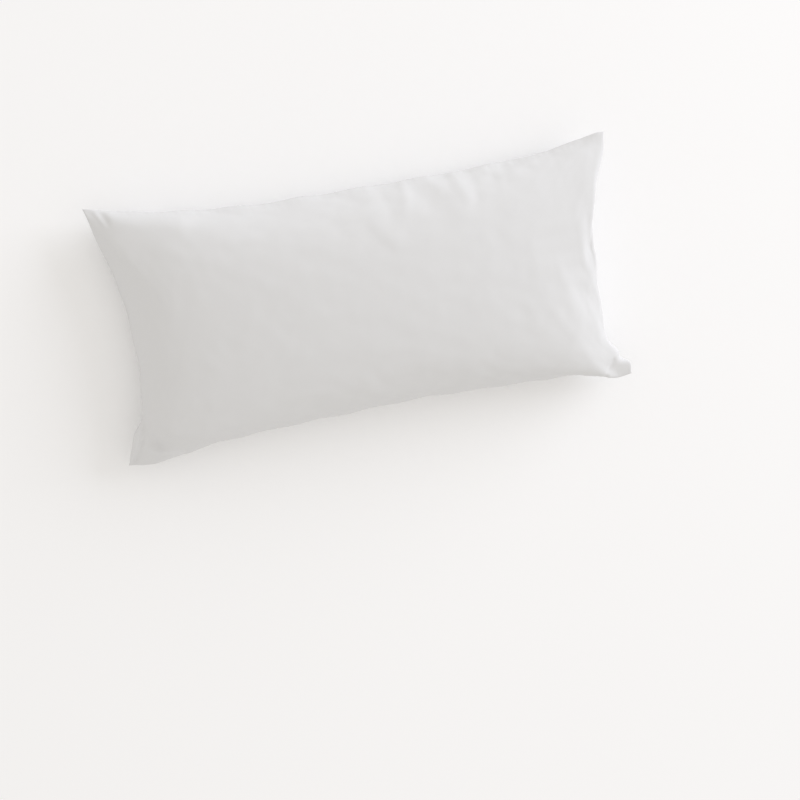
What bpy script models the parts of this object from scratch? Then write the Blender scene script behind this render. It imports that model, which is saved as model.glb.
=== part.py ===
"""A filled pillowcase, 80 x 40 cm when it is laid flat, lying on its back.

The case is two panels of cloth sewn together along one seam that runs round the edge. Filled, it is
one soft closed form: a high crown above the seam, a flatter belly below it that is level where it
rests, sides drawn in by the filling, and a pinched flat ear at each corner.

Metres, +Z up. +X is the length, +Y the long side that is uppermost when the pillow stands.
The origin is on the resting surface, under the middle of the case.

A place on a panel is given as s along the length and t across it. Both run from -1 at one seam to 1
at the other.
"""

import math
from collections import namedtuple

import bmesh
import bpy

# The case laid flat, seam to seam.
CASE_LENGTH = 0.800
CASE_WIDTH = 0.400

# The filled case, seen from above: where the ears reach.
EARS_X = 0.3945
EARS_UPPER_Y = 0.1905
EARS_LOWER_Y = 0.1945

# The four sides, each drawn in between its two ears by the filling.
# depth: how far the side lies inside the line of its ears, where it is deepest
# deepest: where that is along the side, from -1 to 1
# before, after: power of the bay's curve on either side of it, low for a V, high for a flat bay
# waves, start: how often the seam puckers along the side, and the angle at which that begins
Side = namedtuple("Side", "depth deepest before after waves start")
LEFT_SIDE = Side(depth=0.037, deepest=-0.05, before=2.6, after=1.2, waves=5.5, start=2.1)
RIGHT_SIDE = Side(depth=0.042, deepest=0.10, before=6.0, after=1.15, waves=5.0, start=0.6)
LOWER_SIDE = Side(depth=0.025, deepest=0.05, before=2.1, after=1.9, waves=11.0, start=0.2)
UPPER_SIDE = Side(depth=0.032, deepest=-0.30, before=1.5, after=3.4, waves=10.0, start=1.3)

# The seam.
SEAM_THICKNESS = 0.0026  # two folded edges of cloth
PUCKER_DEPTH = 0.0022  # how far the seam waves in and out between its stitches
PUCKER_REACH = 0.040  # how far the waves go into a panel
PUCKER_DRIFT = 0.9  # unevenness of the waves, in radians
PUCKER_DRIFT_TURN = 2.3

# Heights above the surface.
THICKNESS = 0.132  # top of the crown
SIDE_SEAM_HEIGHT = 0.050
EAR_HEIGHT = 0.040

# How full the crown and the belly are.
CROWN_CURVE = 2.0  # power of the crown's profile between two seams
CROWN_FULLNESS = 0.55  # lower is fuller, and steeper at the seams
CROWN_LEAN = 0.10  # the filling has settled towards the lower side
BELLY_ROLL = 0.075  # how much cloth rolls up from the surface to the seam
BELLY_PRESS = 1.04  # how far the filling would push the belly, past the surface
WRAP = 1.12  # how far the panels curve round towards the seam, in radians

# How the ears and the seam beside them are moved, with the cloth within each one's reach.
EarMove = namedtuple("EarMove", "s t move_x move_y move_z reach")
EAR_MOVES = (
    # The upper left ear, drawn out to a point, and its end seam, which stays straight.
    EarMove(-1.00, 1.00, move_x=-0.002, move_y=0.001, move_z=0.010, reach=0.070),
    EarMove(-1.00, 0.70, move_x=-0.004, move_y=0.000, move_z=0.000, reach=0.050),
    # The upper right ear, cut off blunt.
    EarMove(1.00, 1.00, move_x=-0.001, move_y=-0.001, move_z=0.012, reach=0.050),
    EarMove(1.00, 0.82, move_x=0.008, move_y=0.000, move_z=0.000, reach=0.030),
    # The lower left ear, laid flat on the surface.
    EarMove(-1.00, -1.00, move_x=0.000, move_y=0.001, move_z=-0.012, reach=0.065),
    EarMove(-1.00, -0.80, move_x=-0.011, move_y=0.000, move_z=0.000, reach=0.032),
    EarMove(-0.88, -1.00, move_x=0.000, move_y=-0.010, move_z=0.000, reach=0.045),
    # The lower right ear, small and turned out.
    EarMove(1.00, -1.00, move_x=-0.004, move_y=0.004, move_z=-0.014, reach=0.040),
    EarMove(1.00, -0.89, move_x=0.020, move_y=0.000, move_z=0.000, reach=0.024),
    EarMove(0.92, -1.00, move_x=0.000, move_y=-0.011, move_z=0.000, reach=0.045),
)

# Soft folds of the crown, each a ridge or a trough between two places seen from above.
Fold = namedtuple("Fold", "from_x from_y to_x to_y half_width height")
FOLDS = (
    # The flat ear at the lower left, behind a trough in two runs.
    Fold(-0.372, -0.115, -0.352, -0.160, half_width=0.012, height=-0.012),
    Fold(-0.352, -0.160, -0.285, -0.178, half_width=0.012, height=-0.009),
    # The small turned ear at the lower right.
    Fold(0.352, -0.190, 0.362, -0.163, half_width=0.009, height=-0.008),
    Fold(0.362, -0.163, 0.392, -0.158, half_width=0.009, height=-0.006),
    # A crease in the upper left ear.
    Fold(-0.380, 0.186, -0.345, 0.150, half_width=0.009, height=-0.003),
    # Slack ripples under the upper side.
    Fold(0.000, 0.135, 0.040, 0.075, half_width=0.016, height=0.0022),
    Fold(0.080, 0.150, 0.105, 0.110, half_width=0.016, height=-0.0022),
    Fold(0.125, 0.155, 0.140, 0.110, half_width=0.016, height=0.0024),
    Fold(0.205, 0.150, 0.190, 0.105, half_width=0.016, height=-0.0020),
    # A slack ripple over the lower side.
    Fold(-0.012, -0.105, 0.015, -0.150, half_width=0.014, height=0.0020),
)
FOLD_FADE = 6.0  # how quickly the folds fade out at a seam

# The cage that is smoothed.
CAGE_CELLS_X = 34
CAGE_CELLS_Y = 19
CAGE_CROWDING = 0.80  # above 0, the cells near a seam are smaller
SMOOTHING_LEVELS = 1
SEAM_CREASE = 0.55

CASE_COLOUR = (0.80, 0.80, 0.79, 1.0)
CASE_ROUGHNESS = 0.85


def clear_scene():
    for obj in list(bpy.data.objects):
        bpy.data.objects.remove(obj)


def crowded(share):
    """Moves an even spacing from -1 to 1 so that it is closer near both ends."""
    turn = CAGE_CROWDING * math.pi / 2
    return math.sin(share * turn) / math.sin(turn)


def wrapped(share):
    """Where cloth at this share of the way to the seam lies seen from above, as a share too."""
    return math.sin(share * WRAP) / math.sin(WRAP)


def mixed(low, high, share):
    """A value that goes evenly from low at share -1 to high at share 1."""
    return low + (high - low) * (share + 1) / 2


def draw_in(side, along):
    """How far a side lies inside the line of its ears, at a place along it."""
    if along > side.deepest:
        run, power = 1 - side.deepest, side.after
    else:
        run, power = 1 + side.deepest, side.before
    return side.depth * (1 - (abs(along - side.deepest) / run) ** power)


def pucker(side, along, from_seam):
    """How far the seam's waves push the cloth outwards, at a distance from the seam."""
    near = max(0.0, 1 - from_seam / PUCKER_REACH)
    drift = PUCKER_DRIFT * math.sin(PUCKER_DRIFT_TURN * along)
    wave = math.sin(math.pi * side.waves * along + side.start + drift)
    return PUCKER_DEPTH * near**2 * (1 - along**2) * wave


def reach_along_length(s, t):
    """Half the case's length in row t, as it is towards the end that s is nearer to."""
    from_seam = (1 - abs(s)) * CASE_LENGTH / 2
    left = EARS_X - draw_in(LEFT_SIDE, t) + pucker(LEFT_SIDE, t, from_seam)
    right = EARS_X - draw_in(RIGHT_SIDE, t) + pucker(RIGHT_SIDE, t, from_seam)
    return mixed(left, right, s)


def reach_across(s, t):
    """Half the case's width in column s, as it is towards the side that t is nearer to."""
    from_seam = (1 - abs(t)) * CASE_WIDTH / 2
    lower = EARS_LOWER_Y - draw_in(LOWER_SIDE, s) + pucker(LOWER_SIDE, s, from_seam)
    upper = EARS_UPPER_Y - draw_in(UPPER_SIDE, s) + pucker(UPPER_SIDE, s, from_seam)
    return mixed(lower, upper, t)


def ear_move(s, t):
    """How far the ears move the cloth at (s, t), along X, Y and Z."""
    move_x = move_y = move_z = 0.0
    for ear in EAR_MOVES:
        gap_x = (s - ear.s) * CASE_LENGTH / 2
        gap_y = (t - ear.t) * CASE_WIDTH / 2
        share = math.exp(-(gap_x**2 + gap_y**2) / ear.reach**2)
        move_x += ear.move_x * share
        move_y += ear.move_y * share
        move_z += ear.move_z * share
    return move_x, move_y, move_z


def crown_share(s, t):
    """Height of the crown over the seam, from 0 at the seam to 1 at its top."""
    leaned = t + CROWN_LEAN * (1 - t * t)
    profile = (1 - abs(s) ** CROWN_CURVE) * (1 - abs(leaned) ** CROWN_CURVE)
    return max(0.0, profile) ** CROWN_FULLNESS


def belly_share(s, t):
    """Depth of the belly under the seam, from 0 at the seam to 1 where it rests."""
    share = 1.0
    for place, half in ((s, CASE_LENGTH / 2), (t, CASE_WIDTH / 2)):
        rolled = min(1.0, (1 - abs(place)) * half / BELLY_ROLL)
        share *= math.sqrt(1 - (1 - rolled) ** 2)
    return share


def fold_height(x, y):
    """What the soft folds add to the crown at a place seen from above."""
    total = 0.0
    for fold in FOLDS:
        run_x = fold.to_x - fold.from_x
        run_y = fold.to_y - fold.from_y
        along = ((x - fold.from_x) * run_x + (y - fold.from_y) * run_y) / (run_x**2 + run_y**2)
        nearest = min(1.0, max(0.0, along))
        gap_x = x - fold.from_x - nearest * run_x
        gap_y = y - fold.from_y - nearest * run_y
        total += fold.height * math.exp(-(gap_x**2 + gap_y**2) / fold.half_width**2)
    return total


def case_point(s, t, upper):
    """Where the cloth at (s, t) of the upper or the lower panel lies."""
    move_x, move_y, lift = ear_move(s, t)
    x = wrapped(s) * reach_along_length(s, t) + move_x
    y = wrapped(t) * reach_across(s, t) + move_y
    seam = EAR_HEIGHT + (SIDE_SEAM_HEIGHT - EAR_HEIGHT) * (1 - (s * t) ** 2) + lift
    if not upper:
        panel_edge = seam - SEAM_THICKNESS / 2
        return x, y, max(0.0, panel_edge - BELLY_PRESS * seam * belly_share(s, t))
    panel_edge = seam + SEAM_THICKNESS / 2
    from_edges = (1 - s * s) * (1 - t * t)
    folds = fold_height(x, y) * min(1.0, FOLD_FADE * from_edges)
    return x, y, panel_edge + (THICKNESS - panel_edge) * crown_share(s, t) + folds


def crease_rims(cube):
    """Keeps the cube's upper and lower rims, which become the seam, crisp when the cage is smoothed."""
    cube.normal_update()
    crease = cube.edges.layers.float.new("crease_edge")
    for edge in cube.edges:
        if len({round(face.normal.z) for face in edge.link_faces}) == 2:
            edge[crease] = SEAM_CREASE


def build_cage():
    """A cube cut into cells, each of whose points is moved to its place on the filled case."""
    cage = bmesh.new()
    bmesh.ops.create_cube(cage, size=2.0)
    for axis, cells in ((0, CAGE_CELLS_X), (1, CAGE_CELLS_Y)):
        along_axis = [
            edge for edge in cage.edges if edge.verts[0].co[axis] != edge.verts[1].co[axis]
        ]
        bmesh.ops.subdivide_edges(cage, edges=along_axis, cuts=cells - 1, use_grid_fill=True)
    crease_rims(cage)
    for point in cage.verts:
        point.co = case_point(crowded(point.co.x), crowded(point.co.y), upper=point.co.z > 0)
    return cage


def case_material():
    material = bpy.data.materials.new("white_cotton")
    material.use_nodes = True
    shader = material.node_tree.nodes["Principled BSDF"]
    shader.inputs["Base Color"].default_value = CASE_COLOUR
    shader.inputs["Roughness"].default_value = CASE_ROUGHNESS
    shader.inputs["Metallic"].default_value = 0.0
    return material


def build_case(collection):
    cage = build_cage()
    bmesh.ops.recalc_face_normals(cage, faces=cage.faces)
    mesh = bpy.data.meshes.new("pillowcase")
    cage.to_mesh(mesh)
    cage.free()
    mesh.shade_smooth()
    mesh.materials.append(case_material())
    case = bpy.data.objects.new("pillowcase", mesh)
    collection.objects.link(case)
    smoothing = case.modifiers.new("smoothing", "SUBSURF")
    smoothing.levels = SMOOTHING_LEVELS
    smoothing.render_levels = SMOOTHING_LEVELS
    return case


def centre_over_origin(case):
    """Puts the middle of the smoothed case's outline over the origin."""
    bpy.context.view_layer.update()
    smooth = case.evaluated_get(bpy.context.evaluated_depsgraph_get()).to_mesh()
    for axis in (0, 1):
        places = [point.co[axis] for point in smooth.vertices]
        middle = (min(places) + max(places)) / 2
        for point in case.data.vertices:
            point.co[axis] -= middle


def main():
    clear_scene()
    collection = bpy.data.collections.new("filled_pillowcase")
    bpy.context.scene.collection.children.link(collection)
    case = build_case(collection)
    centre_over_origin(case)


main()
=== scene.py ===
"""The looks of the filled pillowcase: two sewn panels of white cotton, filled, settled and creased.

Run as a script, this registers a panel in the 3D view's sidebar with one operator for the case and
one for the stage, and calls both. The case is laid out as flat panels, sewn, filled by a cloth
simulation and finished: its slack ripples, the turned cloth of its ears, and the groove of its
seam.

Metres, +Z up. +X is the length, +Y the long side that is uppermost when the pillow stands. A place
on a panel is given as s along the length and t across it, both from -1 at one seam to 1 at the
other.
"""

import math
from collections import namedtuple

import bpy
import numpy as np
from mathutils import Matrix, Vector


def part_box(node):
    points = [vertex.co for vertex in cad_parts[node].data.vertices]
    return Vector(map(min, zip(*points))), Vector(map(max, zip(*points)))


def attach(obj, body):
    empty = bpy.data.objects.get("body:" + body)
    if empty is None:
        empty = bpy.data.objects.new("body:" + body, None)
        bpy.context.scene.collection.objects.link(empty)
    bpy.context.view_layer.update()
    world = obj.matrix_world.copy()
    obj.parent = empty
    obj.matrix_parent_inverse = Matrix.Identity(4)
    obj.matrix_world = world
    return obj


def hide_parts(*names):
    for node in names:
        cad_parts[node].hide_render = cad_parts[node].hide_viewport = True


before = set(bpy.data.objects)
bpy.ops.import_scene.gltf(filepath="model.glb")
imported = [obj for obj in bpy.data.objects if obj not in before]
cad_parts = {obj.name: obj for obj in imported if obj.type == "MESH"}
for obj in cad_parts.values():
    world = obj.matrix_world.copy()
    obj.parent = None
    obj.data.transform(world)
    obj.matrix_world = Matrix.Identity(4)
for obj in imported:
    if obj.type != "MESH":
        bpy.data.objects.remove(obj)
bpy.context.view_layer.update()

bl_info = {
    "name": "Filled pillowcase",
    "version": (1, 0, 0),
    "blender": (4, 5, 0),
    "location": "3D View > Sidebar > Pillowcase",
    "description": "Makes a filled cotton pillowcase and a plain stage for it",
    "category": "Object",
}

BODY = "root"
NODE = "pillowcase"
COTTON = "white_cotton"

BOX_LOW, BOX_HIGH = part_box(NODE)
BOX_SIZE = Vector(BOX_HIGH) - Vector(BOX_LOW)
BOX_MIDDLE = (Vector(BOX_LOW) + Vector(BOX_HIGH)) / 2

# --------------------------------------------------------------------------------------------------
# The form that the filling starts from
# --------------------------------------------------------------------------------------------------

# Each side is drawn in between its two ears.
# depth: how far the side lies inside the line of its ears, where it is deepest
# deepest: where that is along the side, from -1 to 1
# before, after: power of the bay's curve on either side of it, low for a V, high for a flat bay
# waves, start: how often the seam puckers along the side, and the angle at which that begins
Side = namedtuple("Side", "depth deepest before after waves start")
LEFT_SIDE = Side(depth=0.037, deepest=-0.05, before=2.4, after=1.35, waves=5.5, start=2.1)
RIGHT_SIDE = Side(depth=0.042, deepest=0.10, before=6.0, after=1.15, waves=5.0, start=0.6)
LOWER_SIDE = Side(depth=0.028, deepest=0.05, before=2.1, after=1.9, waves=11.0, start=0.2)
UPPER_SIDE = Side(depth=0.030, deepest=-0.30, before=1.25, after=3.1, waves=10.0, start=1.3)

# How the ears and the seam beside them are moved, with the cloth within each one's reach.
SeamMove = namedtuple("SeamMove", "s t reach move_x move_y move_z", defaults=(0.0, 0.0, 0.0))
FORM_MOVES = (
    # The upper left ear, drawn out to a point, and its end seam, which stays straight.
    SeamMove(-1.00, 1.00, reach=0.070, move_x=-0.002, move_y=0.003, move_z=0.010),
    SeamMove(-1.00, 0.70, reach=0.050, move_x=-0.004),
    # The upper right ear, cut off blunt.
    SeamMove(1.00, 1.00, reach=0.050, move_x=-0.004, move_y=0.001, move_z=0.012),
    SeamMove(1.00, 0.75, reach=0.034, move_x=0.009),
    # The end seam between them, which lies high, so that the face runs out to it.
    SeamMove(1.00, 0.32, reach=0.110, move_x=-0.0112, move_z=0.034),
    # The lower left ear, laid flat on the surface.
    SeamMove(-1.00, -1.00, reach=0.065, move_y=0.001, move_z=-0.012),
    SeamMove(-1.00, -0.80, reach=0.032, move_x=-0.011),
    SeamMove(-0.88, -1.00, reach=0.045, move_y=-0.005),
    # The lower right ear, small and turned out.
    SeamMove(1.00, -1.00, reach=0.040, move_x=-0.006, move_y=0.005, move_z=-0.005),
    SeamMove(1.00, -0.89, reach=0.024, move_x=0.020, move_y=0.002),
    SeamMove(1.00, -0.72, reach=0.024, move_x=0.013, move_y=0.004),
    SeamMove(0.92, -1.00, reach=0.045, move_y=-0.009),
)

# Folds that the filling keeps, each a ridge or a trough between two places seen from above.
# bow: how far its middle is bent aside
Fold = namedtuple("Fold", "from_x from_y to_x to_y half_width height bow", defaults=(0.0,))
START_FOLDS = (
    # The flat ear at the lower left, behind a trough in two runs.
    Fold(-0.372, -0.115, -0.352, -0.160, half_width=0.012, height=-0.012),
    Fold(-0.352, -0.160, -0.285, -0.178, half_width=0.012, height=-0.009),
    # Slack ripples under the upper side.
    Fold(0.000, 0.135, 0.030, 0.085, half_width=0.016, height=0.0010),
    Fold(0.080, 0.150, 0.105, 0.110, half_width=0.016, height=-0.0012),
    Fold(0.125, 0.155, 0.140, 0.110, half_width=0.016, height=0.0014),
    Fold(0.205, 0.150, 0.190, 0.105, half_width=0.016, height=-0.0010),
)
FOLD_FADE = 6.0  # how quickly these folds fade out at a seam

# How the outline is touched up once the cloth has settled.
TOUCHES = (
    # The left end, down to the flat ear.
    SeamMove(-1.00, 0.56, reach=0.022, move_x=-0.0025),
    SeamMove(-1.00, 0.10, reach=0.024, move_x=-0.002),
    SeamMove(-1.00, -0.68, reach=0.012, move_x=-0.001, move_z=0.004),
    SeamMove(-1.00, -0.70, reach=0.016, move_x=-0.006, move_y=0.002),
    SeamMove(-1.00, -0.79, reach=0.012, move_x=-0.001, move_z=0.005),
    SeamMove(-1.00, -0.90, reach=0.012, move_z=0.004),
    SeamMove(-1.00, -1.00, reach=0.016, move_x=0.001, move_y=0.005),
    # The lower side.
    SeamMove(-0.95, -1.00, reach=0.022, move_y=0.0022),
    SeamMove(-0.78, -1.00, reach=0.026, move_y=-0.0025),
    SeamMove(0.12, -1.00, reach=0.060, move_y=0.0025),
    SeamMove(0.70, -1.00, reach=0.030, move_y=0.0025),
    # The lower right ear, with the hollow behind it.
    SeamMove(0.92, -0.88, reach=0.016, move_z=-0.002),
    SeamMove(0.94, -1.00, reach=0.022, move_z=-0.006),
    SeamMove(1.00, -0.90, reach=0.012, move_x=0.006, move_y=0.003, move_z=-0.002),
    SeamMove(1.00, -0.82, reach=0.010, move_x=-0.004, move_z=-0.003),
    SeamMove(1.00, -0.74, reach=0.014, move_x=0.003, move_z=-0.004),
    # The right end, up to the blunt ear.
    SeamMove(1.00, 0.10, reach=0.050, move_x=0.003),
    SeamMove(0.97, 0.12, reach=0.012, move_x=-0.0030),
    SeamMove(1.00, 0.52, reach=0.055, move_x=-0.0016),
    SeamMove(1.00, 0.86, reach=0.030, move_x=-0.0035),
    SeamMove(1.00, 1.00, reach=0.010, move_y=-0.0045),
    # The upper side.
    SeamMove(0.67, 1.00, reach=0.026, move_y=-0.0025),
    SeamMove(0.44, 1.00, reach=0.018, move_y=-0.0030),
)

# How the right end's seam is turned up once the cloth has settled.
# middle, half_run: where along the end this is, and how far it goes to either side, from -1 to 1
# reach: how far it goes into both panels
# fade: power of its fading along the end, high for an even turn with short ends
EndTurn = namedtuple("EndTurn", "middle half_run reach fade move_x move_z")
RIGHT_TURN = EndTurn(middle=0.02, half_run=0.76, reach=0.018, fade=4, move_x=-0.0048, move_z=0.012)

# Creases laid into the settled cloth, seen from above.
CREASES = (
    # The upper left ear: a sharp pinch, then the band of cloth that follows the upper side.
    Fold(-0.3820, 0.1870, -0.3720, 0.1680, half_width=0.0028, height=0.0010),
    Fold(-0.3740, 0.1870, -0.3660, 0.1700, half_width=0.0030, height=-0.0016),
    Fold(-0.3600, 0.1720, -0.2700, 0.1560, half_width=0.0130, height=0.0026, bow=0.004),
    Fold(-0.3350, 0.1150, -0.3350, 0.0650, half_width=0.0400, height=-0.0040),
    # The lower left ear: its turned rim, and the dents that part it from the filling.
    Fold(-0.3650, -0.1270, -0.3740, -0.1540, half_width=0.0032, height=-0.0034),
    Fold(-0.3740, -0.1540, -0.3850, -0.1790, half_width=0.0030, height=-0.0026),
    Fold(-0.3680, -0.1575, -0.3480, -0.1620, half_width=0.0050, height=-0.0018, bow=0.001),
    Fold(-0.3480, -0.1620, -0.3150, -0.1735, half_width=0.0060, height=-0.0016),
    # The lower right ear: a flat flap behind a crease.
    Fold(0.3600, -0.1620, 0.3455, -0.1840, half_width=0.0034, height=-0.0022),
    # Short gathers under the upper side, to the right of its middle.
    Fold(0.0250, 0.1600, 0.0320, 0.1220, half_width=0.0070, height=-0.0008),
    Fold(0.0620, 0.1620, 0.0540, 0.1280, half_width=0.0080, height=0.0014, bow=0.002),
    Fold(0.0980, 0.1680, 0.1120, 0.1450, half_width=0.0060, height=0.0008),
    Fold(0.1250, 0.1700, 0.1270, 0.1440, half_width=0.0060, height=-0.0006),
    Fold(0.1430, 0.1680, 0.1480, 0.1280, half_width=0.0085, height=0.0016, bow=-0.002),
    Fold(0.1660, 0.1560, 0.1640, 0.1260, half_width=0.0060, height=-0.0008),
    Fold(0.1850, 0.1720, 0.1930, 0.1560, half_width=0.0050, height=0.0004),
    Fold(0.1990, 0.1720, 0.1950, 0.1480, half_width=0.0042, height=-0.0005),
    Fold(0.2070, 0.1720, 0.2040, 0.1330, half_width=0.0050, height=0.0004, bow=0.001),
    Fold(0.2180, 0.1700, 0.2160, 0.1400, half_width=0.0050, height=-0.0003),
    Fold(0.2300, 0.1720, 0.2330, 0.1460, half_width=0.0060, height=0.0003),
    Fold(0.2560, 0.1760, 0.2640, 0.1540, half_width=0.0060, height=0.0005),
    Fold(0.2980, 0.1800, 0.2960, 0.1560, half_width=0.0060, height=-0.0004),
    # A long slanting ripple in the face, and a few slack ones low down.
    Fold(0.0020, 0.1120, 0.0280, 0.0780, half_width=0.0070, height=0.0005),
    Fold(-0.0080, 0.1060, 0.0160, 0.0740, half_width=0.0080, height=-0.0003),
    Fold(-0.0480, -0.1020, -0.0340, -0.1300, half_width=0.0100, height=0.0004),
    Fold(-0.0300, -0.1000, -0.0180, -0.1240, half_width=0.0090, height=-0.0004),
)
CREASE_FADE = 0.006  # how far from a seam a crease reaches its full height

PUCKER_REACH = 0.040  # how far the seam's waves go into a panel
PUCKER_DRIFT = 0.9  # unevenness of the waves, in radians
PUCKER_DRIFT_TURN = 2.3  # how quickly that unevenness changes along a side

CROWN_CURVE = 2.0  # power of the crown's profile between two seams
CROWN_FULLNESS = 0.55  # lower is fuller, and steeper at the seams
CROWN_LEAN = 0.10  # the filling has settled towards the lower side
CROWN_DRIFT = 0.10  # and towards the right end
BELLY_ROLL = 0.075  # how much cloth rolls up from the surface to the seam
BELLY_PRESS = 1.04  # how far the filling would push the belly, past the surface
WRAP = 1.12  # how far the panels curve round towards the seam, in radians
EMPTY_EAR = 0.060  # how far the filling stays out of an ear, measured along both of its seams
LAYING_ROUNDS = 8  # how often the threads are spaced out again while a panel is laid on the form
PANELS_ASIDE = Vector((-0.0012, 0.0005, 0.0))  # from the middle of the case's box


def draw_in(side, along):
    """How far a side lies inside the line of its ears, at places along it."""
    after = along > side.deepest
    run = np.where(after, 1 - side.deepest, 1 + side.deepest)
    power = np.where(after, side.after, side.before)
    return side.depth * (1 - (np.abs(along - side.deepest) / run) ** power)


def pucker(side, along, from_seam, depth):
    """How far the seam's waves push the cloth outwards, at a distance from the seam."""
    near = np.maximum(0.0, 1 - from_seam / PUCKER_REACH)
    drift = PUCKER_DRIFT * np.sin(PUCKER_DRIFT_TURN * along)
    wave = np.sin(math.pi * side.waves * along + side.start + drift)
    return depth * near**2 * (1 - along**2) * wave


def mixed(low, high, share):
    """A value that goes evenly from low at share -1 to high at share 1."""
    return low + (high - low) * (share + 1) / 2


def wrapped(share):
    """Where cloth at this share of the way to the seam lies seen from above, as a share too."""
    return np.sin(share * WRAP) / math.sin(WRAP)


def fold_heights(folds, x, y):
    """What the folds add at places seen from above."""
    total = np.zeros_like(x)
    for fold in folds:
        run_x, run_y = fold.to_x - fold.from_x, fold.to_y - fold.from_y
        length = math.hypot(run_x, run_y)
        along = ((x - fold.from_x) * run_x + (y - fold.from_y) * run_y) / length**2
        aside = ((y - fold.from_y) * run_x - (x - fold.from_x) * run_y) / length
        nearest = np.clip(along, 0.0, 1.0)
        aside = aside - 4 * fold.bow * nearest * (1 - nearest)
        past_end = (along - nearest) * length
        total += fold.height * np.exp(-(aside**2 + past_end**2) / fold.half_width**2)
    return total


def filled_share(from_end, from_side):
    """Goes from 0 at an ear's tip, where the two panels lie together, to 1 where the filling is."""
    return 1 - np.exp(-(((from_end + from_side) / EMPTY_EAR) ** 2))


def form_places(sizes, s, t, upper):
    """Where the cloth at (s, t) of the upper or the lower panel lies before it is filled."""
    half_length, half_width = sizes.flat_length / 2, sizes.flat_width / 2
    ears_x = BOX_SIZE.x / 2 + sizes.ear_ease
    ears_y = BOX_SIZE.y / 2 + sizes.ear_ease
    from_end = (1 - np.abs(s)) * half_length
    from_side = (1 - np.abs(t)) * half_width
    depth = sizes.pucker_depth
    left = ears_x - draw_in(LEFT_SIDE, t) + pucker(LEFT_SIDE, t, from_end, depth)
    right = ears_x - draw_in(RIGHT_SIDE, t) + pucker(RIGHT_SIDE, t, from_end, depth)
    lower = ears_y - draw_in(LOWER_SIDE, s) + pucker(LOWER_SIDE, s, from_side, depth)
    above = ears_y - draw_in(UPPER_SIDE, s) + pucker(UPPER_SIDE, s, from_side, depth)
    x = wrapped(s) * mixed(left, right, s)
    y = wrapped(t) * mixed(lower, above, t)
    seam = sizes.ear_height + (sizes.seam_height - sizes.ear_height) * (1 - (s * t) ** 2)
    for move in FORM_MOVES:
        gap = np.hypot((s - move.s) * half_length, (t - move.t) * half_width)
        share = np.exp(-((gap / move.reach) ** 2))
        x = x + move.move_x * share
        y = y + move.move_y * share
        seam = seam + move.move_z * share
    if not upper:
        rolled_x = np.minimum(1.0, from_end / BELLY_ROLL)
        rolled_y = np.minimum(1.0, from_side / BELLY_ROLL)
        belly = np.sqrt(1 - (1 - rolled_x) ** 2) * np.sqrt(1 - (1 - rolled_y) ** 2)
        belly *= filled_share(from_end, from_side)
        return np.stack([x, y, np.maximum(0.0, seam - BELLY_PRESS * seam * belly)], axis=-1)
    leaned = t + CROWN_LEAN * (1 - t * t)
    drifted = s - CROWN_DRIFT * (1 - s * s)
    profile = (1 - np.abs(drifted) ** CROWN_CURVE) * (1 - np.abs(leaned) ** CROWN_CURVE)
    crown = np.maximum(0.0, profile) ** CROWN_FULLNESS * filled_share(from_end, from_side)
    folds = fold_heights(START_FOLDS, x, y) * np.minimum(1.0, FOLD_FADE * (1 - s * s) * (1 - t * t))
    return np.stack([x, y, seam + (sizes.start_height - seam) * crown + folds], axis=-1)


def crowded(shares, crowding):
    """Moves an even spacing from -1 to 1 so that it is closer near both ends."""
    turn = crowding * math.pi / 2
    return np.sin(shares * turn) / math.sin(turn)


def length_shares(places, axis):
    """How far along each row of places the cloth has run, from -1 to 1."""
    steps = np.linalg.norm(np.diff(places, axis=axis), axis=2)
    start = np.zeros_like(np.take(steps, [0], axis=axis))
    run = np.concatenate([start, np.cumsum(steps, axis=axis)], axis=axis)
    return 2 * run / np.take(run, [-1], axis=axis) - 1


def laid_evenly(sizes, cells_s, cells_t, upper):
    """A panel's grid of places on the form, slid about until every thread runs at an even rate."""
    s = np.repeat(cells_s[:, None], len(cells_t), axis=1)
    t = np.repeat(cells_t[None, :], len(cells_s), axis=0)
    for _ in range(LAYING_ROUNDS):
        run = length_shares(form_places(sizes, s, t, upper), axis=0)
        s = np.stack([np.interp(cells_s, run[:, j], s[:, j]) for j in range(len(cells_t))], axis=1)
        run = length_shares(form_places(sizes, s, t, upper), axis=1)
        t = np.stack([np.interp(cells_t, run[i], t[i]) for i in range(len(cells_s))], axis=0)
    return form_places(sizes, s, t, upper)


# --------------------------------------------------------------------------------------------------
# The case: sewn, filled, finished
# --------------------------------------------------------------------------------------------------

SEAM_CREASE = 0.6  # how firmly the seam holds its line when the case is smoothed
PATTERN_MAP = "cutting_pattern"  # the UV map
PATTERN_GAP = 0.05  # between the two panels on the cutting pattern
PATTERN_THINNESS = 10  # how many times closer the panels lie when flat than on the form
SAME_PLACE = 1e-4  # points nearer than this are one
NO_MOVE = 1e-9  # the least that a move counts as, because it is divided by
SURFACE_SIZE = 2  # of the plane that the case is filled on

# The unevenness of the seam's gathers: how far each slow wave shifts them, and its rate.
GATHER_DRIFTS = ((1.7, 0.31), (0.9, 0.83))


def half_panel(sizes):
    """Half the length and half the width of a panel, laid flat."""
    return np.array([sizes.flat_length, sizes.flat_width]) / 2


def deselect_all():
    bpy.ops.object.select_all(action="DESELECT")


def select_only(piece):
    deselect_all()
    piece.select_set(True)
    bpy.context.view_layer.objects.active = piece


def points_of(mesh):
    """The places of a mesh's points, one row for each."""
    flat = np.empty(len(mesh.vertices) * 3, dtype=np.float32)
    mesh.vertices.foreach_get("co", flat)
    return flat.reshape(-1, 3).astype(np.float64)


def normals_of(mesh):
    """Which way the cloth faces at each point, one row for each."""
    flat = np.empty(len(mesh.vertices) * 3, dtype=np.float32)
    mesh.vertex_normals.foreach_get("vector", flat)
    return flat.reshape(-1, 3).astype(np.float64)


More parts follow.
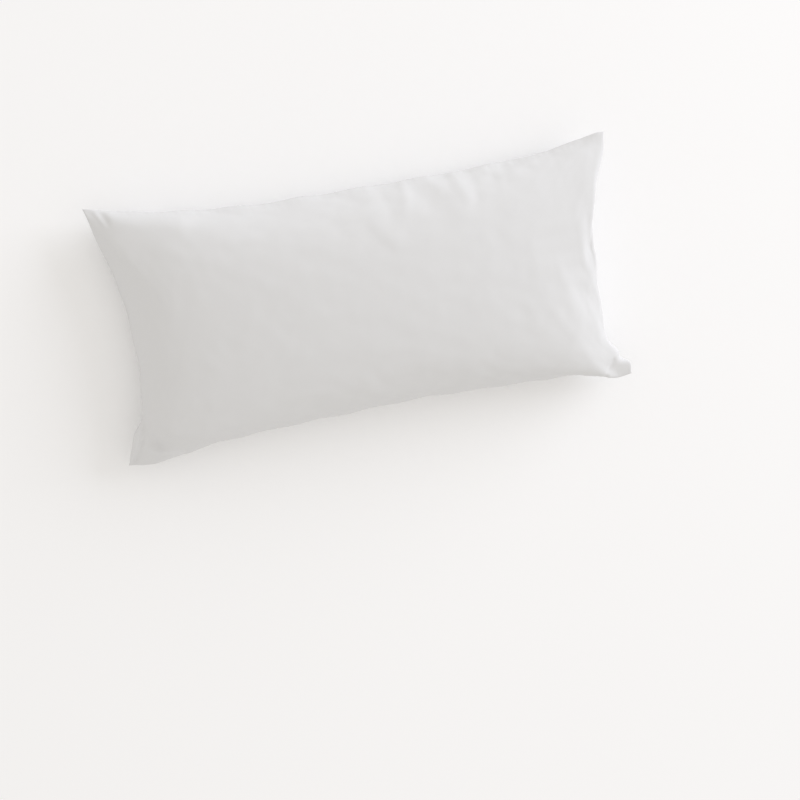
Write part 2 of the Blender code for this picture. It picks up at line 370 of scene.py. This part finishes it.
def move_points(mesh, places):
    """Puts each point of a mesh at its row's place."""
    mesh.vertices.foreach_set("co", places.astype(np.float32).ravel())
    mesh.update()


def corner_points(mesh):
    """Which point each corner of each face is."""
    corners = np.empty(len(mesh.loops), dtype=np.int32)
    mesh.loops.foreach_get("vertex_index", corners)
    return corners


def sewn_panels(sizes):
    """Two square grids, one above the other, merged round their rims: places are (s, t, side)."""
    deselect_all()
    bpy.ops.mesh.primitive_grid_add(
        x_subdivisions=sizes.cells_long, y_subdivisions=sizes.cells_wide, size=2, location=(0, 0, 1)
    )
    case = bpy.context.object
    case.name = case.data.name = "cotton_pillowcase"
    bpy.ops.object.transform_apply(location=True)
    bpy.ops.object.mode_set(mode="EDIT")
    bpy.ops.mesh.select_all(action="SELECT")
    bpy.ops.mesh.duplicate()
    bpy.ops.transform.translate(value=(0, 0, -2))
    bpy.ops.mesh.flip_normals()
    bpy.ops.object.mode_set(mode="OBJECT")
    places = points_of(case.data)
    on_rim = np.abs(places[:, :2]).max(axis=1) > 1 - SAME_PLACE
    places[on_rim, 2] = 0.0
    move_points(case.data, places)
    bpy.ops.object.mode_set(mode="EDIT")
    bpy.ops.mesh.select_all(action="SELECT")
    bpy.ops.mesh.remove_doubles(threshold=SAME_PLACE)
    bpy.ops.object.mode_set(mode="OBJECT")
    return case


def lay_out(case, sizes):
    """Lays the panels on the form, with a cutting pattern as UV map. Returns both shapes."""
    grid = points_of(case.data)
    cells_s = crowded(np.linspace(-1, 1, sizes.cells_long + 1), sizes.crowding)
    cells_t = crowded(np.linspace(-1, 1, sizes.cells_wide + 1), sizes.crowding)
    column = np.rint((grid[:, 0] + 1) / 2 * sizes.cells_long).astype(int)
    row = np.rint((grid[:, 1] + 1) / 2 * sizes.cells_wide).astype(int)
    side = np.rint(grid[:, 2])
    upper = laid_evenly(sizes, cells_s, cells_t, upper=True)[column, row]
    lower = laid_evenly(sizes, cells_s, cells_t, upper=False)[column, row]
    start = np.where(side[:, None] > 0, upper, lower)
    start[side == 0] = (upper[side == 0] + lower[side == 0]) / 2
    start[:, 2] += sizes.floor_gap
    pattern = np.column_stack([cells_s[column], cells_t[row]]) * half_panel(sizes)
    flat_gap = sizes.floor_gap / PATTERN_THINNESS
    flat = np.column_stack([pattern, sizes.seam_height + side * flat_gap])

    corners = corner_points(case.data)
    face_height = grid[corners, 2].reshape(-1, 4).sum(axis=1)
    is_lower = np.repeat(face_height < 0, 4)
    places = pattern[corners] + half_panel(sizes)
    places[is_lower, 1] += sizes.flat_width + PATTERN_GAP
    layer = case.data.uv_layers.active
    layer.name = PATTERN_MAP
    layer.uv.foreach_set("vector", places.astype(np.float32).ravel())

    crease = case.data.attributes.new("crease_edge", "FLOAT", "EDGE")
    ends = np.empty(len(case.data.edges) * 2, dtype=np.int32)
    case.data.edges.foreach_get("vertices", ends)
    on_seam = (side[ends.reshape(-1, 2)] == 0).all(axis=1)
    crease.data.foreach_set("value", np.where(on_seam, SEAM_CREASE, 0.0).astype(np.float32))
    move_points(case.data, start)
    return start, flat


def fill(case, start, flat, cloth):
    """Lets pressure fill the case. A soft goal keeps each point near its place on the form."""
    case.shape_key_add(name="laid")
    pattern_key = case.shape_key_add(name="flat")
    pattern_key.data.foreach_set("co", flat.astype(np.float32).ravel())
    goal = case.vertex_groups.new(name="goal")
    on_panel = np.abs(flat[:, :2])
    near_ear = 1 - filled_share(*(on_panel.max(axis=0) - on_panel).T)
    for point, near in enumerate(near_ear):
        goal.add([point], cloth.goal + (cloth.ear_goal - cloth.goal) * near, "REPLACE")

    deselect_all()
    bpy.ops.mesh.primitive_plane_add(size=SURFACE_SIZE)
    surface = bpy.context.object
    bpy.ops.object.modifier_add(type="COLLISION")
    surface.collision.thickness_outer = cloth.floor_thickness
    surface.collision.cloth_friction = cloth.friction

    select_only(case)
    bpy.ops.object.modifier_add(type="CLOTH")
    modifier = case.modifiers[-1]
    settings = modifier.settings
    settings.quality = cloth.quality
    settings.mass = cloth.point_mass
    settings.tension_stiffness = cloth.tension
    settings.compression_stiffness = cloth.compression
    settings.shear_stiffness = cloth.shear
    settings.bending_model = "ANGULAR"
    settings.bending_stiffness = cloth.bending
    settings.use_pressure = True
    settings.uniform_pressure_force = cloth.pressure
    settings.vertex_group_mass = goal.name
    settings.rest_shape_key = pattern_key
    settings.effector_weights.gravity = 0.0
    modifier.collision_settings.distance_min = cloth.floor_thickness
    modifier.collision_settings.use_self_collision = False
    modifier.point_cache.frame_start = 1
    modifier.point_cache.frame_end = cloth.frames

    scene = bpy.context.scene
    for step in range(1, cloth.frames + 1):
        scene.frame_set(step)
    bpy.ops.object.convert(target="MESH")
    case.vertex_groups.clear()
    move = points_of(case.data) - start
    far = np.linalg.norm(move, axis=1, keepdims=True)
    kept = np.minimum(1.0, cloth.move_limit / np.maximum(far, NO_MOVE))
    move_points(case.data, start + move * kept)
    bpy.data.objects.remove(surface)
    scene.frame_set(1)


def subdivide(case):
    """One round of Subdivision Surface, applied. The cutting pattern isn't smoothed with it."""
    smoothing = case.modifiers.new("smoothing", "SUBSURF")
    smoothing.levels = smoothing.render_levels = 1
    smoothing.uv_smooth = "NONE"
    select_only(case)
    bpy.ops.object.modifier_apply(modifier=smoothing.name)


def pattern_places(case, sizes):
    """Each point's distance from the seam and from its panel's middle, and whether it is above."""
    mesh = case.data
    on_map = np.empty(len(mesh.loops) * 2, dtype=np.float32)
    mesh.uv_layers.active.uv.foreach_get("vector", on_map)
    places = np.zeros((len(mesh.vertices), 2))
    places[corner_points(mesh)] = on_map.reshape(-1, 2)
    is_lower = places[:, 1] > sizes.flat_width + PATTERN_GAP / 2
    places[is_lower, 1] -= sizes.flat_width + PATTERN_GAP
    places -= half_panel(sizes)
    from_seam = (half_panel(sizes) - np.abs(places)).min(axis=1)
    return np.maximum(0.0, from_seam), places, ~is_lower


def rest_on_surface(case, contact):
    """Sets the case down in the middle of its box, with its lowest cloth pressed flat."""
    places = points_of(case.data)
    middle = (places.min(axis=0) + places.max(axis=0)) / 2
    places[:, 0] += BOX_MIDDLE.x + PANELS_ASIDE.x - middle[0]
    places[:, 1] += BOX_MIDDLE.y + PANELS_ASIDE.y - middle[1]
    places[:, 2] -= places[:, 2].min() + contact
    places[:, 2] = np.maximum(0.0, places[:, 2])
    move_points(case.data, places)


def touch_up(case, sizes):
    """Moves the seam, and the cloth beside it, the last few millimetres."""
    _, pattern, _ = pattern_places(case, sizes)
    half_size = half_panel(sizes)
    places = points_of(case.data)
    for touch in TOUCHES:
        gap = np.linalg.norm(pattern - [touch.s, touch.t] * half_size, axis=1)
        move = np.array([touch.move_x, touch.move_y, touch.move_z])
        places += move * np.exp(-((gap / touch.reach) ** 2))[:, None]
    from_right = (half_size[0] - pattern[:, 0]) / RIGHT_TURN.reach
    aside = (pattern[:, 1] / half_size[1] - RIGHT_TURN.middle) / RIGHT_TURN.half_run
    share = np.exp(-(from_right**2) - aside**RIGHT_TURN.fade)
    places[:, 0] += RIGHT_TURN.move_x * share
    places[:, 2] += RIGHT_TURN.move_z * share
    move_points(case.data, places)


def lay_creases(case, sizes):
    """Raises and dents the upper panel along its creases."""
    from_seam, _, above = pattern_places(case, sizes)
    places = points_of(case.data)
    heights = fold_heights(CREASES, places[:, 0], places[:, 1])
    heights *= above * np.minimum(1.0, from_seam / CREASE_FADE)
    move_points(case.data, places + normals_of(case.data) * heights[:, None])


def groove_seam(case, seam, sizes):
    """Draws the seam in between the panels' rolled edges, gathered a little by its thread."""
    from_seam, pattern, _ = pattern_places(case, sizes)
    from_end, from_side = (half_panel(sizes) - np.abs(pattern)).T
    filled = filled_share(from_end, from_side)
    along = np.where(from_end < from_side, pattern[:, 1], pattern[:, 0])
    groove = -seam.groove_depth * np.exp(-((from_seam / seam.groove_width) ** 2))
    out = from_seam / seam.roll_width
    roll = seam.roll_height * out * np.exp(1 - out)
    turn = 2 * math.pi * along / seam.gather_pitch
    gather = np.sin(turn + sum(shift * np.sin(rate * turn) for shift, rate in GATHER_DRIFTS))
    gather *= seam.gather_depth * filled * out * np.exp(1 - out / 2)
    places = points_of(case.data) + normals_of(case.data) * (groove + roll + gather)[:, None]
    places[:, 2] = np.maximum(0.0, places[:, 2])
    move_points(case.data, places)


# --------------------------------------------------------------------------------------------------
# Cotton
# --------------------------------------------------------------------------------------------------


class Nodes:
    """A material's node tree, with short ways to add nodes and join them."""

    def __init__(self, material):
        material.use_nodes = True
        self.tree = material.node_tree
        self.shader = self.tree.nodes["Principled BSDF"]

    def add(self, kind, **inputs):
        node = self.tree.nodes.new(kind)
        for name, value in inputs.items():
            self.put(node.inputs[name], value)
        return node

    def put(self, socket, value):
        if isinstance(value, bpy.types.NodeSocket):
            self.tree.links.new(value, socket)
        else:
            socket.default_value = value

    def math(self, operation, first, second=0.0):
        node = self.add("ShaderNodeMath")
        node.operation = operation
        self.put(node.inputs[0], first)
        self.put(node.inputs[1], second)
        return node.outputs[0]


# The noises in the cloth: how many of their marks go to a metre, and how rough they are.
SLUBS = {"Scale": 40.0, "Detail": 1.0, "Roughness": 0.5}
HANDLING = {"Scale": 15.0, "Detail": 3.0, "Roughness": 0.45}
TINT = {"Scale": 5.0, "Detail": 2.0}
SLUB_LENGTH = 24.0  # how many times longer than wide a thicker thread is


def cotton(finish):
    """Plain woven white cotton: faint crossed threads, a few thicker ones, soft handling marks."""
    material = bpy.data.materials.new(COTTON)
    nodes = Nodes(material)
    pattern = nodes.add("ShaderNodeUVMap")
    pattern.uv_map = PATTERN_MAP
    place = nodes.add("ShaderNodeTexCoord").outputs["Object"]

    split = nodes.add("ShaderNodeSeparateXYZ", Vector=pattern.outputs["UV"])
    turn = math.pi / finish.thread_pitch
    warp, weft = (
        nodes.math("SINE", nodes.math("MULTIPLY", split.outputs[axis], turn)) for axis in ("X", "Y")
    )
    slubs = []
    for stretch in ((1.0, SLUB_LENGTH, 1.0), (SLUB_LENGTH, 1.0, 1.0)):
        along = nodes.add("ShaderNodeMapping", Vector=pattern.outputs["UV"], Scale=stretch)
        noise = nodes.add("ShaderNodeTexNoise", Vector=along.outputs["Vector"], **SLUBS)
        slubs.append(noise.outputs["Fac"])
    crossing = nodes.math("MULTIPLY", warp, weft)
    threads = nodes.math("ADD", crossing, nodes.math("ADD", *slubs))

    handled = nodes.add("ShaderNodeTexNoise", Vector=place, **HANDLING)
    soft = nodes.add(
        "ShaderNodeBump",
        Strength=1.0,
        Distance=finish.handling_depth,
        Height=handled.outputs["Fac"],
    )
    woven = nodes.add(
        "ShaderNodeBump",
        Strength=1.0,
        Distance=finish.thread_depth,
        Height=threads,
        Normal=soft.outputs["Normal"],
    )

    tint = nodes.add("ShaderNodeTexNoise", Vector=place, **TINT)
    colour = nodes.add("ShaderNodeMix")
    colour.data_type = "RGBA"
    nodes.put(colour.inputs["Factor"], tint.outputs["Fac"])
    low = [part * (1 - finish.tint_change) for part in finish.colour]
    nodes.put(colour.inputs["A"], (*low, 1.0))
    nodes.put(colour.inputs["B"], (*finish.colour, 1.0))

    for name, value in (
        ("Normal", woven.outputs["Normal"]),
        ("Base Color", colour.outputs["Result"]),
        ("Roughness", finish.roughness),
        ("Metallic", 0.0),
        ("Specular IOR Level", finish.specular),
        ("Sheen Weight", finish.sheen),
        ("Sheen Roughness", finish.sheen_roughness),
    ):
        nodes.put(nodes.shader.inputs[name], value)
    return material


# --------------------------------------------------------------------------------------------------
# Settings
# --------------------------------------------------------------------------------------------------


def length_property(name, description, default, precision=4):
    return bpy.props.FloatProperty(
        name=name, description=description, default=default, unit="LENGTH", precision=precision
    )


def number_property(name, description, default):
    return bpy.props.FloatProperty(name=name, description=description, default=default, precision=4)


def count_property(name, description, default):
    return bpy.props.IntProperty(name=name, description=description, default=default)


def angle_property(name, description, degrees):
    return bpy.props.FloatProperty(
        name=name, description=description, default=math.radians(degrees), subtype="ANGLE"
    )


def colour_property(name, description, default):
    return bpy.props.FloatVectorProperty(
        name=name, description=description, default=default, subtype="COLOR"
    )


def group_property(name, description, group):
    return bpy.props.PointerProperty(name=name, description=description, type=group)


class CaseSizes(bpy.types.PropertyGroup):
    """The cut and filled sizes of the case."""

    flat_length: length_property("Flat length", "From end seam to end seam, laid flat", 0.800)
    flat_width: length_property("Flat width", "From side seam to side seam, laid flat", 0.400)
    start_height: length_property("Start height", "Height of the crown before it is filled", 0.130)
    seam_height: length_property("Seam height", "Height of the side seams over the surface", 0.050)
    ear_height: length_property("Ear height", "Height of the ears over the surface", 0.040)
    ear_ease: length_property("Ear ease", "How far outside the finished ears they start", -0.0005)
    pucker_depth: length_property("Pucker depth", "How far the seam waves in and out", 0.0012)
    floor_gap: length_property("Floor gap", "How far above the surface the case starts", 0.0015)
    cells_long: count_property("Cells long", "Cloth cells along a panel", 78)
    cells_wide: count_property("Cells wide", "Cloth cells across a panel", 38)
    crowding: number_property("Crowding", "Above 0, the cells near a seam are smaller", 0.75)


class ClothSettings(bpy.types.PropertyGroup):
    """How the case is filled."""

    pressure: number_property("Pressure", "Pressure of the filling", 0.3)
    goal: number_property("Goal", "How firmly the cloth is held near its form", 0.05)
    ear_goal: number_property("Ear goal", "How firmly the ears are held near their form", 0.2)
    point_mass: number_property("Point mass", "Weight of each point, in kilograms", 0.002)
    tension: number_property("Tension", "Stiffness of the cloth when it is pulled", 40.0)
    compression: number_property("Compression", "Stiffness of the cloth when it is pushed", 10.0)
    shear: number_property("Shear", "Stiffness of the cloth across its threads", 5.0)
    bending: number_property("Bending", "Stiffness of the cloth when it is folded", 0.1)
    friction: number_property("Friction", "Friction on the surface", 5.0)
    floor_thickness: length_property("Floor thickness", "Gap between cloth and surface", 0.001)
    move_limit: length_property("Move limit", "How far a point may move while it is filled", 0.022)
    frames: count_property("Frames", "Steps of the simulation", 25)
    quality: count_property("Quality", "Substeps in each step", 6)


class SeamSizes(bpy.types.PropertyGroup):
    """The seam that joins the two panels."""

    groove_depth: length_property("Groove depth", "How far the seam lies inside its edges", 0.0012)
    groove_width: length_property("Groove width", "Half width of the seam's groove", 0.0012)
    roll_height: length_property("Roll height", "How far the panels' edges roll out", 0.0005)
    roll_width: length_property("Roll width", "From the seam to where they roll out most", 0.0030)
    gather_pitch: length_property("Gather pitch", "Length of one gather along the seam", 0.013)
    gather_depth: length_property("Gather depth", "How deep the gathers are", 0.00013, 5)
    contact: length_property("Contact", "Height of the lowest cloth that is pressed flat", 0.0008)


class CottonFinish(bpy.types.PropertyGroup):
    """The cloth's colour and surface."""

    colour: colour_property("Colour", "Colour of the cotton", (0.73, 0.73, 0.73))
    tint_change: number_property("Tint change", "How much darker the cloth is in places", 0.012)
    roughness: number_property("Roughness", "Roughness of the cotton", 0.85)
    specular: number_property("Specular", "Strength of the cotton's gloss", 0.25)
    sheen: number_property("Sheen", "Soft shine at grazing angles", 0.06)
    sheen_roughness: number_property("Sheen roughness", "Spread of the soft shine", 0.45)
    thread_pitch: length_property("Thread pitch", "Distance from thread to thread", 0.00045, 5)
    thread_depth: length_property("Thread depth", "Height of the threads", 0.00002, 6)
    handling_depth: length_property("Handling depth", "Height of soft handling marks", 0.0005, 5)


class StageSettings(bpy.types.PropertyGroup):
    """The floor, the light and the camera."""

    floor_size: length_property("Floor size", "Side of the square floor", 14.0, 2)
    floor_colour: colour_property("Floor colour", "Colour of the floor", (0.97, 0.97, 0.97))
    room_light: number_property("Room light", "Strength of the even light all round", 0.82)
    room_colour: colour_property("Room colour", "Colour of the even light", (1.0, 0.975, 0.945))
    window_light: number_property("Window light", "Strength of the wide light from one side", 2.25)
    window_colour: colour_property("Window colour", "Colour of the wide light", (0.88, 0.91, 1.0))
    window_spread: angle_property("Window spread", "How wide this light looks from the case", 50)
    window_distance: length_property("Window distance", "From the case to this light", 7.0, 2)
    window_height: angle_property("Window height", "How high this light stands", 15)
    window_turn: angle_property("Window turn", "From off the right end to the upper side", 27)
    camera_distance: length_property("Camera distance", "From the camera to the case", 2.4, 2)
    camera_aside: angle_property("Camera aside", "How far it stands to the left", 12)
    camera_up: angle_property("Camera up", "How far it stands towards the upper side", 8)
    camera_roll: angle_property("Camera roll", "How far the camera is turned about its axis", 8.23)
    lens: bpy.props.FloatProperty(
        name="Lens", description="Focal length, in millimetres", default=73.16, unit="CAMERA"
    )


class PillowSettings(bpy.types.PropertyGroup):
    """Everything that a user would change."""

    sizes: group_property("Case", "The cut and filled sizes of the case", CaseSizes)
    cloth: group_property("Filling", "How the case is filled", ClothSettings)
    seam: group_property("Seam", "The seam that joins the two panels", SeamSizes)
    finish: group_property("Cotton", "The cloth's colour and surface", CottonFinish)
    stage: group_property("Stage", "The floor, the light and the camera", StageSettings)


# --------------------------------------------------------------------------------------------------
# The stage
# --------------------------------------------------------------------------------------------------

# Half way up the case: the place in the middle of the photograph, and the middle of the case.
VIEW_AIM = Vector((0.0128, -0.1567, 0.070))
CASE_MIDDLE = Vector((0.0, 0.0, 0.070))

SENSOR_WIDTH = 36.0  # in millimetres, as the lens is
CAMERA_REACH = 100.0  # how far the camera sees


def make_floor(stage):
    """A plain pale matt floor."""
    deselect_all()
    bpy.ops.mesh.primitive_plane_add(size=stage.floor_size)
    floor = bpy.context.object
    floor.name = floor.data.name = "floor"
    material = bpy.data.materials.new("pale_floor")
    nodes = Nodes(material)
    nodes.put(nodes.shader.inputs["Base Color"], (*stage.floor_colour, 1.0))
    nodes.put(nodes.shader.inputs["Roughness"], 1.0)
    nodes.put(nodes.shader.inputs["Specular IOR Level"], 0.0)
    floor.data.materials.append(material)


def make_lights(stage):
    """A wide soft light from the upper right, like a window, in a bright room."""
    across = math.cos(stage.window_height)
    towards_window = Vector((
        across * math.cos(stage.window_turn),
        across * math.sin(stage.window_turn),
        math.sin(stage.window_height),
    ))
    deselect_all()
    away = stage.window_distance
    bpy.ops.object.light_add(type="AREA", location=CASE_MIDDLE + towards_window * away)
    window = bpy.context.object
    window.name = "window_light"
    window.rotation_euler = towards_window.to_track_quat("Z", "Y").to_euler()
    window.data.shape = "DISK"
    window.data.size = 2 * away * math.tan(stage.window_spread / 2)
    window.data.energy = stage.window_light * math.pi * away**2
    window.data.color = stage.window_colour
    room = bpy.data.worlds.new("room")
    room.use_nodes = True
    background = room.node_tree.nodes["Background"]
    background.inputs["Color"].default_value = (*stage.room_colour, 1.0)
    background.inputs["Strength"].default_value = stage.room_light
    bpy.context.scene.world = room


def make_camera(stage):
    """Stands the camera at the photograph's angle to the case's face."""
    back = Vector((
        -math.sin(stage.camera_aside) * math.cos(stage.camera_up),
        math.sin(stage.camera_up),
        math.cos(stage.camera_aside) * math.cos(stage.camera_up),
    ))
    place = CASE_MIDDLE + back * stage.camera_distance
    back = (place - VIEW_AIM).normalized()
    level_up = (Vector((0.0, 1.0, 0.0)) - back * back.y).normalized()
    level_right = level_up.cross(back)
    right = level_right * math.cos(stage.camera_roll) - level_up * math.sin(stage.camera_roll)
    deselect_all()
    bpy.ops.object.camera_add(location=place)
    camera = bpy.context.object
    camera.name = "camera"
    camera.rotation_euler = Matrix((right, back.cross(right), back)).transposed().to_euler()
    camera.data.sensor_width = SENSOR_WIDTH
    camera.data.lens = stage.lens
    camera.data.clip_end = CAMERA_REACH
    bpy.context.scene.camera = camera


# --------------------------------------------------------------------------------------------------
# Operators and panel
# --------------------------------------------------------------------------------------------------


class PILLOW_OT_make_case(bpy.types.Operator):
    """Sew, fill and finish the pillowcase"""

    bl_idname = "pillow.make_case"
    bl_label = "Make pillowcase"
    bl_options = {"REGISTER", "UNDO"}

    def execute(self, context):
        settings = context.scene.pillow
        sizes, seam = settings.sizes, settings.seam
        case = sewn_panels(sizes)
        start, flat = lay_out(case, sizes)
        fill(case, start, flat, settings.cloth)
        rest_on_surface(case, seam.contact)
        subdivide(case)
        touch_up(case, sizes)
        lay_creases(case, sizes)
        subdivide(case)
        groove_seam(case, seam, sizes)
        case.data.shade_smooth()
        case.data.materials.clear()
        case.data.materials.append(cotton(settings.finish))
        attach(case, BODY)
        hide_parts(NODE)
        return {"FINISHED"}


class PILLOW_OT_make_stage(bpy.types.Operator):
    """Make the floor, the light and the camera"""

    bl_idname = "pillow.make_stage"
    bl_label = "Make stage"
    bl_options = {"REGISTER", "UNDO"}

    def execute(self, context):
        stage = context.scene.pillow.stage
        make_floor(stage)
        make_lights(stage)
        make_camera(stage)
        context.scene.view_settings.view_transform = "Standard"
        return {"FINISHED"}


def own_settings(group):
    """The settings that a group adds to a plain one."""
    plain = bpy.types.PropertyGroup.bl_rna.properties
    return [item for item in group.bl_rna.properties if item.identifier not in plain]


class PILLOW_PT_sidebar(bpy.types.Panel):
    """Lists the settings, and makes the case and its stage"""

    bl_idname = "PILLOW_PT_sidebar"
    bl_label = "Pillowcase"
    bl_space_type = "VIEW_3D"
    bl_region_type = "UI"
    bl_category = "Pillowcase"

    def draw(self, context):
        layout = self.layout
        settings = context.scene.pillow
        for heading in own_settings(settings):
            box = layout.box()
            box.label(text=heading.name)
            group = getattr(settings, heading.identifier)
            for item in own_settings(group):
                box.prop(group, item.identifier)
        layout.operator(PILLOW_OT_make_case.bl_idname)
        layout.operator(PILLOW_OT_make_stage.bl_idname)


CLASSES = (
    CaseSizes,
    ClothSettings,
    SeamSizes,
    CottonFinish,
    StageSettings,
    PillowSettings,
    PILLOW_OT_make_case,
    PILLOW_OT_make_stage,
    PILLOW_PT_sidebar,
)


def register():
    for made_class in CLASSES:
        bpy.utils.register_class(made_class)
    bpy.types.Scene.pillow = group_property("Pillowcase", "All settings", PillowSettings)


def unregister():
    del bpy.types.Scene.pillow
    for made_class in reversed(CLASSES):
        bpy.utils.unregister_class(made_class)


def main():
    register()
    bpy.ops.pillow.make_case()
    bpy.ops.pillow.make_stage()


if __name__ == "__main__":
    main()
